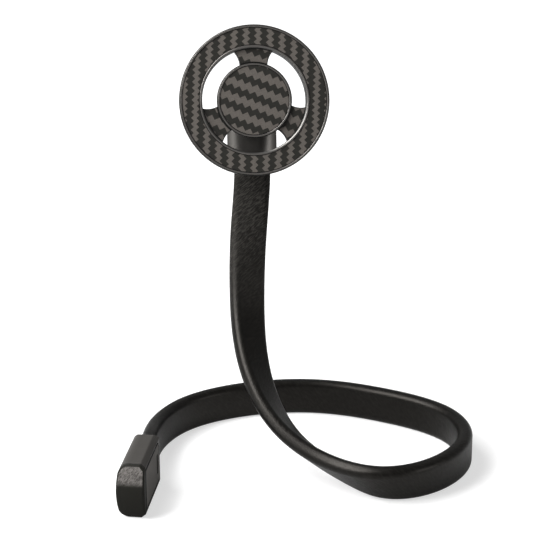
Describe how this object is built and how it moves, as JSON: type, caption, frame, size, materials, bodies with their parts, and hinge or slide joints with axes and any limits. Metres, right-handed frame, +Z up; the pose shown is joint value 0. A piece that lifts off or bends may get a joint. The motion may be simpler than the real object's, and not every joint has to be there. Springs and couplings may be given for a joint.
{
  "type": "phone gooseneck holder",
  "caption": "Desk phone holder: a flat flexible arm coiled into a standing base rises to a round magnetic head with spokes on a ball joint.",
  "frame": {"origin": "bottom centre of the bounding box, on the table the arm stands on", "axes": "+Z up, -Y towards the user in front of the head, +X to the user's right"},
  "size_m": [0.1414, 0.1182, 0.168],
  "materials": {
    "cap_plastic": "satin",
    "cover_plastic": "satin",
    "plug_plastic": "textured",
    "screw_steel": "satin",
    "sleeve_rubber": "fine grain",
    "core_metal": "drawn",
    "ball_metal": "polished",
    "seat_nylon": "moulded",
    "chassis_plastic": "satin",
    "iron": "plated",
    "bezel_metal": "anodised with a bright bevel",
    "film": "woven pattern under gloss",
    "magnet": "nickel plated"
  },
  "bodies": {
    "base": {"end_cap_shell": "cap_plastic", "end_cap_cover": "cover_plastic", "end_cap_plug": "plug_plastic", "end_cap_screws": "screw_steel", "arm_sleeve": "sleeve_rubber", "arm_core": "core_metal", "connector_front": "cap_plastic", "connector_back": "cap_plastic", "connector_screws": "screw_steel", "ball_stud": "ball_metal", "stud_washer": "screw_steel", "stud_nut": "screw_steel"},
    "seat": {"ball_seat": "seat_nylon"},
    "collar": {"socket_collar": "chassis_plastic"},
    "head": {"head_chassis": "chassis_plastic", "back_iron": "iron", "magnet_01": "magnet", "magnet_02": "magnet", "magnet_03": "magnet", "magnet_04": "magnet", "magnet_05": "magnet", "magnet_06": "magnet", "magnet_07": "magnet", "magnet_08": "magnet", "magnet_09": "magnet", "magnet_10": "magnet", "magnet_11": "magnet", "magnet_12": "magnet", "magnet_13": "magnet", "magnet_14": "magnet", "magnet_15": "magnet", "magnet_16": "magnet", "ring_bezel": "bezel_metal", "ring_film": "film", "spoke_film_1": "film", "spoke_film_2": "film", "spoke_film_3": "film", "centre_disc": "bezel_metal", "centre_film": "film"}
  },
  "joints": [
    {"name": "head_nod", "type": "hinge", "parent": "base", "child": "seat", "pos_m": [-0.0131, 0.03747, 0.13627], "axis": [1, 0, 0], "range_deg": [-25, 20]},
    {"name": "head_pan", "type": "hinge", "parent": "seat", "child": "collar", "pos_m": [-0.0131, 0.03747, 0.13627], "axis": [0, 0.2756, 0.9613], "range_deg": [-25, 25]},
    {"name": "head_spin", "type": "hinge", "parent": "collar", "child": "head", "pos_m": [-0.0131, 0.03747, 0.13627], "axis": [0, -0.9613, 0.2756], "continuous": true}
  ]
}
